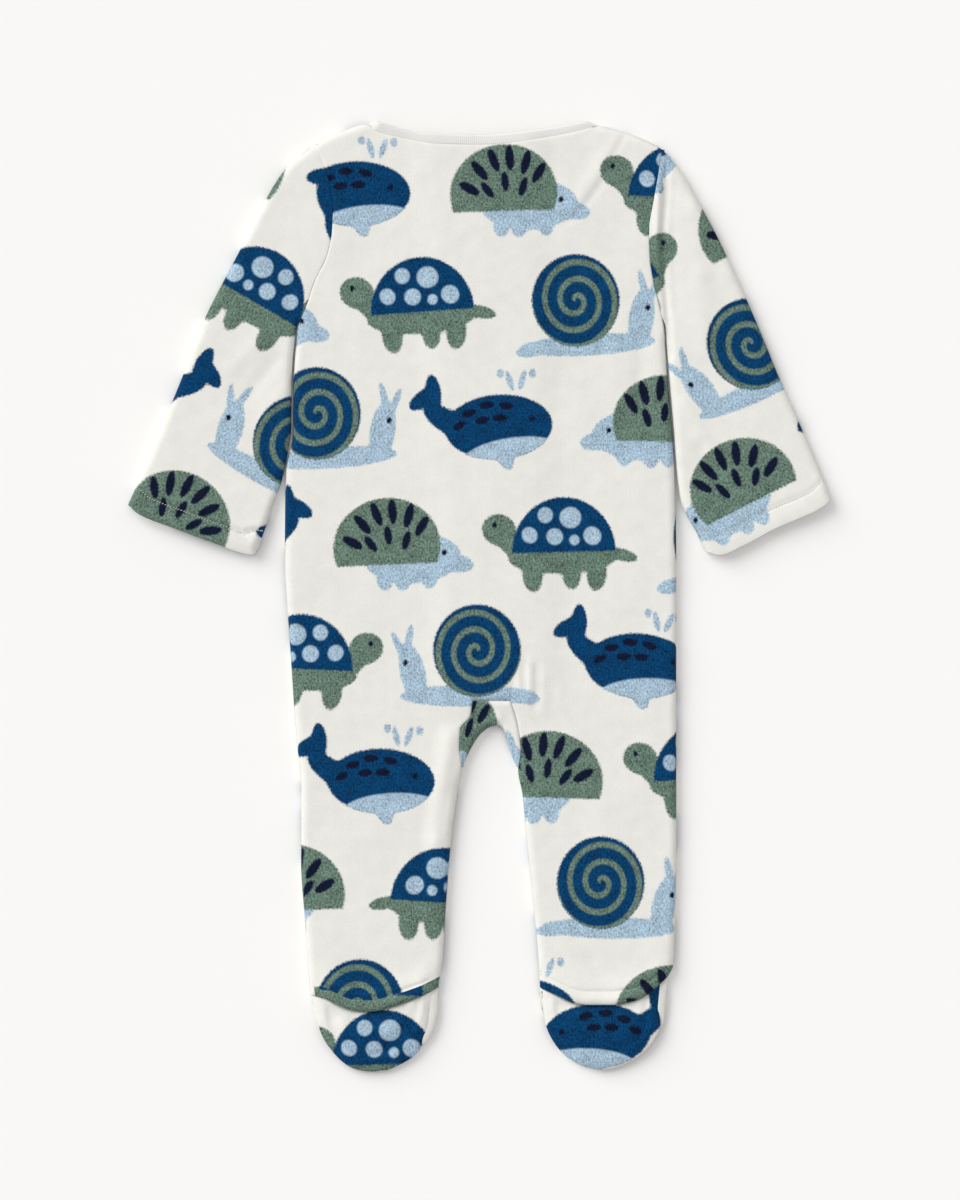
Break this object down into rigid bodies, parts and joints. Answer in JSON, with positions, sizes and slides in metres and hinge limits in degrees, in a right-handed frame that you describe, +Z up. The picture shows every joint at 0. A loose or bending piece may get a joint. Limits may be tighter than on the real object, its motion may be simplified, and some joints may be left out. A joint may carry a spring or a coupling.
{
  "type": "footed baby sleepsuit",
  "caption": "Long-sleeved baby sleepsuit with feet, in printed plush cloth, laid flat on its front with its back up.",
  "frame": {"origin": "centre of the footprint on the floor, under the middle of the garment's length and width", "axes": "+Y from the feet to the neck, +X to the wearer's right hand, +Z up out of the garment's back"},
  "size_m": [0.4444, 0.6005, 0.0108],
  "materials": {
    "printed_plush": "matte",
    "printed_soles": "matte",
    "rib_binding": "matte",
    "poppers": "satin"
  },
  "bodies": {
    "root": {"back": "printed_plush", "crotch_gusset": "printed_plush", "front_left": "printed_plush", "front_right": "printed_plush", "neck_binding": "rib_binding", "sleeve_left": "printed_plush", "sleeve_right": "printed_plush", "sole_left": "printed_soles", "sole_right": "printed_soles", "popper_1": "poppers", "popper_2": "poppers", "popper_3": "poppers", "popper_4": "poppers", "popper_5": "poppers", "popper_6": "poppers", "popper_7": "poppers"}
  },
  "joints": []
}
